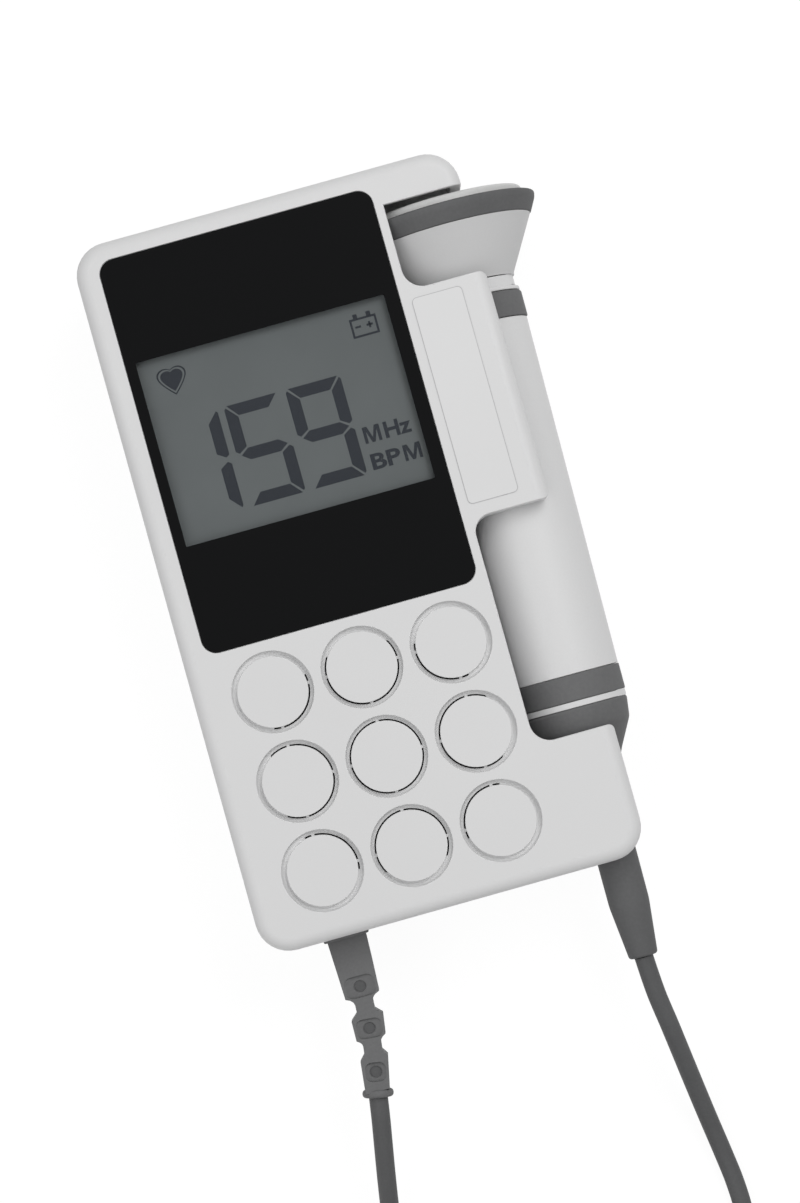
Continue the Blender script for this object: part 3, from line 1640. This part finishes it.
    def units(self) -> None:
        """Make the two units beside the digits."""
        z0, z1 = self.glass_top, self.glass_top + self.ink
        parts = [self.letter_m((7.0, 19.36), (10.35, 22.6)), self.letter_m((13.55, 14.07), (17.0, 17.22)),
                 Form.lettering("Hz", 0.03, (11.1, 19.36), (16.36, 22.6), z0, z1),
                 Form.lettering("BP", 0.03, (7.07, 14.07), (12.9, 17.22), z0, z1)]
        Workshop.place(Form.join(parts), "lcd_units", SEGMENT, "unit")

    def letter_m(self, low: Flat, high: Flat) -> Mesh:
        """Make a capital M that fills a rectangle.

        Args:
            low: Lower left corner.
            high: Upper right corner.

        Returns:
            The letter.
        """
        (x0, y0), (x1, y1) = low, high
        middle, stroke, peak = (x0 + x1) / 2, 0.62, 0.95
        corners = [(x0, y0), (x0 + stroke, y0), (x0 + stroke, y1 - 0.95), (middle - 0.3, y0), (middle + 0.3, y0),
                   (x1 - stroke, y1 - 0.95), (x1 - stroke, y0), (x1, y0), (x1, y1), (x1 - peak, y1),
                   (middle, y0 + 0.95), (x0 + peak, y1), (x0, y1)]
        return self.inked(corners)

    def strips(self) -> None:
        """Make the two elastomer contact strips."""
        parts = []
        for side in (-1, 1):
            y = self.window_middle[1] + side * 20.2
            parts.append(Form.block((self.window_middle[0] - 24, y - 1, 26.2),
                                    (self.window_middle[0] + 24, y + 1, self.glass_low), 0.0, 0.12))
        Workshop.place(Form.join(parts), "contact_strips", ELASTOMER, "unit", ("zebra_strips",))


# ------------------------------------------------------------------ inside the case


@dataclass
class Loudspeaker:
    """Loudspeaker, its foam ring and the dust cloth behind the grille."""

    middle: Flat = (-5.3, -39.5)
    outer: float = 25.2
    open_radius: float = 22.6
    foam_low: float = 31.6
    cloth_low: float = 32.6
    cloth_top: float = 32.8

    def build(self) -> None:
        """Make the soft pieces and dress the hard ones."""
        place = Matrix.Translation((*self.middle, 0.0))
        cloth = Form.turned([(0.0, self.cloth_low, 0.0), (self.outer, self.cloth_low, 0.05),
                             (self.outer, self.cloth_top, 0.05), (0.0, self.cloth_top, 0.0)], 96, False)
        Workshop.place(cloth, "dust_cloth", CLOTH, "unit", ("grille_cloth",), matrix=place)
        foam = Form.turned([(self.open_radius, self.foam_low, 0.15), (self.outer, self.foam_low, 0.15),
                            (self.outer, self.cloth_low, 0.15), (self.open_radius, self.cloth_low, 0.15)])
        Workshop.place(foam, "foam_ring", FOAM, "unit", ("speaker_gasket",), matrix=place)
        Workshop.dress(speaker_frame=STEEL, speaker_cone=PAPER, speaker_magnet=MAGNET)


@dataclass
class Electronics:
    """Board, its parts, the headphone socket and the lead inside the case."""

    socket_y: float = -4.0
    socket_z: float = 21.6
    socket_face: float = -37.8
    barrel: float = 3.0
    bore: float = 1.8
    depth: float = 14.0
    lead_start: Point = (-22.35, -66.1, 18.9)
    lead_run: float = 54.6
    lead_steps: int = 12
    chips: Sequence[tuple[Point, Point]] = (
        ((-6, 36, 23.4), (6, 48, 24.6)), ((-22, 10, 23.4), (-14, 22, 24.6)), ((3, 2, 23.0), (13, 8, 24.6)))

    def build(self) -> None:
        """Make the socket and the inner lead, and dress the rest."""
        self.socket()
        self.inner_lead()
        self.chip_bodies()
        Workshop.dress(main_board=BOARD, board_capacitors=CAN, board_screws=STEEL, key_switches=BLACK_PART,
                       lead_connector=NYLON)

    def socket(self) -> None:
        """Make the headphone socket with its open bore and plated ring."""
        x, y, z = self.socket_face, self.socket_y, self.socket_z
        to_side = Matrix.Translation((x, y, z)) @ Matrix.Rotation(math.pi / 2, 4, "Y")
        barrel = Form.turned([(self.bore + 0.35, 0.0, 0.15), (self.barrel, 0.0, 0.25), (self.barrel, 1.9, 0.0),
                              (3.2, 1.9, 0.0), (3.2, self.depth + 1.5, 0.2), (0.0, self.depth + 1.5, 0.0),
                              (0.0, self.depth, 0.0), (self.bore, self.depth, 0.0), (self.bore, 0.35, 0.0)], 64, False)
        Workshop.place(barrel, "socket_barrel", BLACK_PART, "unit", ("headphone_socket",), matrix=to_side)
        ring = Form.turned([(self.bore, 0.12, 0.0), (self.bore + 0.42, 0.12, 0.08), (self.bore + 0.42, 2.0, 0.0),
                            (self.bore, 2.0, 0.0)], 64)
        Workshop.place(ring, "socket_ring", NICKEL, "unit", matrix=to_side)
        body = Form.block((-35.9, y - 3.2, z - 3.0), (-22.0, y + 3.2, 24.6), 0.0, 0.25)
        body = Form.cut(body, self.bore_tool())
        Workshop.place(body, "socket_body", BLACK_PART, "unit")

    def bore_tool(self) -> Mesh:
        """Make the tool that clears the barrel out of the socket's body.

        Returns:
            The tool.
        """
        tool = bmesh.new()
        bmesh.ops.create_cone(tool, cap_ends=True, segments=48, radius1=2.6, radius2=2.6, depth=30.0,
                              matrix=Matrix.Translation((-38.0, self.socket_y, self.socket_z))
                              @ Matrix.Rotation(math.pi / 2, 4, "Y"))
        return tool

    def inner_lead(self) -> None:
        """Make the stretch of the lead between the strain relief and the connector."""
        x, y, z = self.lead_start
        line = [Vector((x, y + self.lead_run * i / self.lead_steps, z)) for i in range(self.lead_steps + 1)]
        Workshop.place(Form.tube(line, Lead.diameter / 2), "lead_inside", LEAD, "unit", ("inner_lead",), crease=50.0)

    def chip_bodies(self) -> None:
        """Make the chips with rounded bodies."""
        parts = [Form.block(low, high, 0.0, 0.12) for low, high in self.chips]
        Workshop.place(Form.join(parts), "chip_bodies", BLACK_PART, "unit", ("board_chips",))


@dataclass
class Power:
    """Two round cells between domes and coil springs."""

    cell_x: Sequence[float] = (-26.6, -11.4)
    cell_z: float = 9.3
    radius: float = 7.15
    length: float = 49.5
    nub: Flat = (2.7, 1.0)
    bay: tuple[float, float, float, float] = (-34.2, -3.8, 4.0, 62.0)
    spring_turns: float = 3.5
    spring_steps: int = 84
    spring_wire: float = 0.8

    def build(self) -> None:
        """Make the cells and their contacts."""
        middle = (self.bay[2] + self.bay[3]) / 2
        half = self.length / 2
        nub, rise = self.nub
        sleeves, ends = [], []
        for x, way in zip(self.cell_x, (1, -1)):
            place = Matrix.Translation((x, middle, self.cell_z)) @ Matrix.Rotation(-way * math.pi / 2, 4, "X")
            sleeve = Form.turned([(5.9, -half + 0.02, 0.1), (self.radius, -half + 0.02, 0.6),
                                  (self.radius, half - 0.3, 0.6), (5.9, half - 0.3, 0.1)], 64)
            metal = Form.turned([(0.0, -half, 0.0), (6.3, -half, 0.3), (6.3, half - 0.35, 0.2),
                                 (nub + 0.4, half - 0.2, 0.0), (nub, half, 0.1), (nub, half + rise, 0.3),
                                 (0.0, half + rise, 0.0)], 64, False)
            sleeves.append(Form.moved(sleeve, place))
            ends.append(Form.moved(metal, place))
        Workshop.place(Form.join(sleeves), "cell_sleeves", CELL, "unit", ("battery_cells",))
        Workshop.place(Form.join(ends), "cell_ends", NICKEL, "unit")
        self.contacts(middle)

    def contacts(self, middle: float) -> None:
        """Make the end plates with a spring for each negative end and a dome for each positive one.

        Args:
            middle: Middle of the bay along Y.
        """
        x0, x1, _, y1 = self.bay
        reach = (y1 - self.bay[2] - self.length) / 2 - 0.5
        parts = []
        for side in (-1, 1):
            edge = middle + side * (y1 - middle)
            near = edge - side * 0.5
            parts.append(Form.block((x0 + 1, min(edge, near), 3.4), (x1 - 1, max(edge, near), 15.4), 1.2, 0.12, axis=1))
            for i, x in enumerate(self.cell_x):
                if (i == 0) == (side > 0):
                    parts.append(self.dome(x, near, side, reach - self.nub[1]))
                else:
                    parts.append(self.spring(x, near, side, reach))
        Workshop.place(Form.join(parts), "bay_contacts", NICKEL, "unit", ("battery_contacts",), crease=50.0)

    def dome(self, x: float, near: float, side: int, reach: float) -> Mesh:
        """Make the dome that meets a positive end.

        Args:
            x: Middle of the cell.
            near: Y of the plate's face.
            side: 1 at the top end, -1 at the bottom end.
            reach: Length of the dome.

        Returns:
            The dome.
        """
        form = Form.turned([(0.0, 0.0, 0.0), (2.8, 0.0, 0.0), (2.5, reach, 0.8), (0.0, reach, 0.0)], 40, False)
        return Form.moved(form, Matrix.Translation((x, near, self.cell_z))
                          @ Matrix.Rotation(side * math.pi / 2, 4, "X"))

    def spring(self, x: float, near: float, side: int, reach: float) -> Mesh:
        """Make the tapered spring that meets a negative end.

        Args:
            x: Middle of the cell.
            near: Y of the plate's face.
            side: 1 at the top end, -1 at the bottom end.
            reach: Length of the spring.

        Returns:
            The spring.
        """
        line = []
        for i in range(self.spring_steps + 1):
            t = i / self.spring_steps
            angle = math.tau * self.spring_turns * t
            radius = 4.0 - 1.8 * t
            line.append(Vector((x + radius * math.cos(angle), near - side * (0.4 + (reach - 0.8) * t),
                                self.cell_z + radius * math.sin(angle))))
        return Form.tube(line, self.spring_wire / 2, 10)


class KeyMark(Enum):
    """What is marked on a side key."""

    POWER = "power"
    PLUS = "plus"
    MINUS = "minus"


@dataclass
class SideKeys:
    """Three push keys in the finger dish of the left side."""

    keys: Sequence[tuple[str, float, float, KeyMark]] = (
        ("power_key", 50.0, 12.0, KeyMark.POWER), ("volume_up_key", 33.0, 9.0, KeyMark.PLUS),
        ("volume_down_key", 22.0, 9.0, KeyMark.MINUS))
    middle_z: float = 22.7
    height: float = 5.4
    cap_x: float = -38.1
    wall_x: float = -35.85

    def build(self) -> None:
        """Make the keys and their marks."""
        z, half = self.middle_z, self.height / 2
        for node, y, length, mark in self.keys:
            low, high = y - length / 2, y + length / 2
            cap = Form.block((self.cap_x, low, z - half), (self.wall_x, high, z + half), 1.0, 0.45, axis=0, segments=6)
            flange = Form.block((-35.9, low - 0.8, z - half - 0.5), (-35.1, high + 0.8, z + half + 0.5), 0.6, 0.1,
                                axis=0)
            stem = Form.block((-35.2, y - 1.5, z - 1.0), (-34.1, y + 1.5, z + 1.0), 0.0, 0.1)
            Workshop.place(Form.join([cap, flange, stem]), f"{node}_cap", KEYCAP, node, (node,))
            Workshop.place(self.mark(mark), f"{node}_mark", KEY_MARK, node,
                           matrix=Matrix.Translation((self.cap_x, y, z)))

    def mark(self, mark: KeyMark) -> Mesh:
        """Make a mark that stands a little proud of the key's face.

        Args:
            mark: Mark to make.

        Returns:
            The mark round the origin, facing -X.
        """
        if mark is KeyMark.POWER:
            arc = Form.turned([(1.05, -0.05, 0.0), (1.4, -0.05, 0.0), (1.4, 0.05, 0.0), (1.05, 0.05, 0.0)], 40,
                              angle=math.radians(290))
            Form.moved(arc, Matrix.Rotation(math.pi / 2, 4, "Y"))
            return Form.join([arc, Form.block((-0.055, -0.18, 0.3), (0.055, 0.18, 1.6))])
        bar = Form.block((-0.05, -1.2, -0.2), (0.05, 1.2, 0.2))
        if mark is KeyMark.MINUS:
            return bar
        return Form.join([bar, Form.block((-0.055, -0.2, -1.2), (0.055, 0.2, 1.2))])


# ------------------------------------------------------------------ probe


@dataclass
class Probe:
    """Pencil probe with a flared head; lengths run along its axis from the tail point."""

    tail: Point = (32.55, -80.45, 18.9)
    lean_deg: float = 0.6
    steps: int = 96
    boot_end: float = -10.1
    boot_taper: float = 0.7
    boot_top: float = 25.0
    cap_top: float = 40.2
    spacer_top: float = 41.4
    low_ring_top: float = 46.6
    handle_top: float = 116.8
    ring_top: float = 122.1
    neck_top: float = 125.8
    cone_top: float = 136.4
    band_top: float = 140.5
    membrane_top: float = 142.1
    key_deg: float = 116.0
    rim: float = 0.5
    slit: float = 0.24

    def matrix(self) -> Matrix:
        """Return the place of the probe's axis, whose Z runs from tail to head."""
        return (Matrix.Translation(self.tail) @ Matrix.Rotation(math.radians(-self.lean_deg), 4, "Z")
                @ Matrix.Rotation(-math.pi / 2, 4, "X"))

    def turn(self, name: str, finish: Finish, profile: Sequence[Point], node: str,
             closed: bool = True) -> Piece:
        """Turn one piece round the axis and place it.

        Args:
            name: Name of the piece.
            finish: Its finish.
            profile: Its section.
            node: CAD node that it stands for.
            closed: Whether the section is a ring of points.

        Returns:
            The piece.
        """
        return Workshop.place(Form.turned(profile, self.steps, closed), name, finish, "probe", (node,),
                              matrix=self.matrix())

    def build(self) -> Piece:
        """Make the probe.

        Returns:
            The boot that the lead goes into.
        """
        self.head()
        self.neck()
        self.handle()
        boot = self.tail_end()
        Workshop.dress(transducer_crystals=CERAMIC, crystal_backing=EPOXY, probe_board=BOARD)
        return boot

    def head(self) -> None:
        """Make the flared head, its rubber band and the acoustic face."""
        low, cone, band, top = self.neck_top, self.cone_top, self.band_top, self.membrane_top
        rim = low - self.rim
        self.turn("head_cone", HEAD, [
            (8.6, rim, 0.0), (10.4, rim, 0.06), (10.5, low + 0.1, 0.0), (16.62, cone, 0.12), (15.5, cone, 0.0),
            (15.5, band - 0.3, 0.0), (13.6, band - 0.3, 0.0), (13.6, cone, 0.0), (8.6, low + 1.6, 0.0)], "probe_head")
        self.turn("head_band", HEAD_RUBBER, [
            (15.6, cone + 0.05, 0.0), (16.8, cone + 0.05, 0.25), (18.4, cone + 3.0, 0.6), (18.4, band, 0.85),
            (15.6, band, 0.15)], "head_bumper")
        self.turn("acoustic_face", MEMBRANE, [
            (0.0, band - 1.2, 0.0), (13.4, band - 1.2, 0.0), (13.4, band + 0.05, 0.0), (16.1, band + 0.05, 0.0),
            (16.1, top, 0.7), (0.0, top, 0.0)], "face_membrane", closed=False)

    def neck(self) -> None:
        """Make the neck with its key, and the upper grip ring."""
        ring, top = self.ring_top, self.neck_top
        slit_top, slit_low = top - self.rim, top - self.rim - self.slit
        key, slit = (Form.rotated(Form.turned(section, 24, angle=math.radians(self.key_deg)), -math.pi / 2, "Z")
                     for section in (
                         [(9.2, ring + 0.8, 0.0), (10.65, ring + 0.8, 0.12), (10.65, slit_low, 0.08),
                          (9.2, slit_low, 0.0)],
                         [(9.0, slit_low, 0.0), (11.0, slit_low, 0.0), (11.0, slit_top, 0.0), (9.0, slit_top, 0.0)]))
        neck = Form.turned([(6.5, ring - 4, 0.0), (8.4, ring - 4, 0.0), (8.4, ring + 0.1, 0.0), (10.7, ring + 0.1, 0.2),
                            (10.75, ring + 0.9, 0.25), (9.8, ring + 0.95, 0.0), (9.8, ring + 1.2, 0.0),
                            (10.05, ring + 1.2, 0.06), (10.05, slit_top - 0.01, 0.0), (8.4, slit_top - 0.01, 0.0),
                            (8.4, top + 1.4, 0.0), (6.5, top + 1.4, 0.0)], self.steps)
        Workshop.place(Form.join([Form.cut(neck, slit), key]), "neck_collar", PROBE, "probe", ("probe_neck",),
                       matrix=self.matrix())
        low = self.handle_top + 0.1
        self.turn("grip_ring_upper", RUBBER, [(9.5, low, 0.0), (10.9, low, 0.25), (10.9, ring - 0.02, 0.4),
                                              (9.5, ring - 0.02, 0.0)], "upper_grip_ring")

    def handle(self) -> None:
        """Make the handle, the lower grip ring and the thin spacer."""
        spacer, ring, top = self.spacer_top, self.low_ring_top, self.handle_top
        self.turn("handle_tube", PROBE, [(9.4, spacer, 0.0), (9.4, ring, 0.0), (10.15, ring, 0.12), (10.65, top, 0.15),
                                         (9.4, top, 0.0), (9.4, self.ring_top, 0.0), (8.5, self.ring_top, 0.0),
                                         (8.5, spacer, 0.0)], "probe_handle")
        self.turn("grip_ring_lower", RUBBER, [(9.5, spacer, 0.0), (10.25, spacer, 0.3), (10.25, ring - 0.1, 0.2),
                                              (9.5, ring - 0.1, 0.0)], "lower_grip_ring")
        self.turn("spacer_ring", PROBE, [(8.5, self.cap_top, 0.0), (10.1, self.cap_top, 0.1),
                                         (10.1, spacer - 0.05, 0.1), (8.5, spacer - 0.05, 0.0)], "tail_spacer")

    def tail_end(self) -> Piece:
        """Make the end cap and the boot.

        Returns:
            The boot.
        """
        top, boot_top = self.cap_top - 0.05, self.boot_top - 0.05
        self.turn("tail_cap", RUBBER, [
            (0.0, self.boot_top, 0.0), (4.3, self.boot_top, 0.3), (6.5, 30.2, 0.8), (9.6, 35.9, 0.5), (10.1, 39.7, 0.1),
            (9.9, top, 0.1), (8.4, top, 0.0), (8.4, 46.0, 0.0), (6.8, 46.0, 0.0), (6.8, 38.0, 0.0), (0.0, 36.0, 0.0)],
                  "end_cap", closed=False)
        return self.turn("lead_boot", HEAD_RUBBER, [
            (0.0, self.boot_end, 0.0), (2.85, self.boot_end, 0.55), (4.0, self.boot_taper, 0.6), (4.1, boot_top, 0.2),
            (0.0, boot_top, 0.0)], "tail_boot", closed=False)


# ------------------------------------------------------------------ all


def main() -> None:
    """Build the room, the camera and every piece."""
    logging.basicConfig(level=logging.INFO, format="%(message)s")
    PhotoCamera().build()
    lead_maker = Lead()
    lead = lead_maker.build()
    ties = lead_maker.ties()
    relief = StrainRelief().build()
    Studio().build()
    lead_maker.declare(lead, [ties, relief, Probe().build()])
    for maker in (Casing, ClipLabel, Display, Loudspeaker, Electronics, Power, SideKeys):
        maker().build()
    LOG.info("%d pieces made", Workshop.made)


if __name__ == "__main__":
    main()
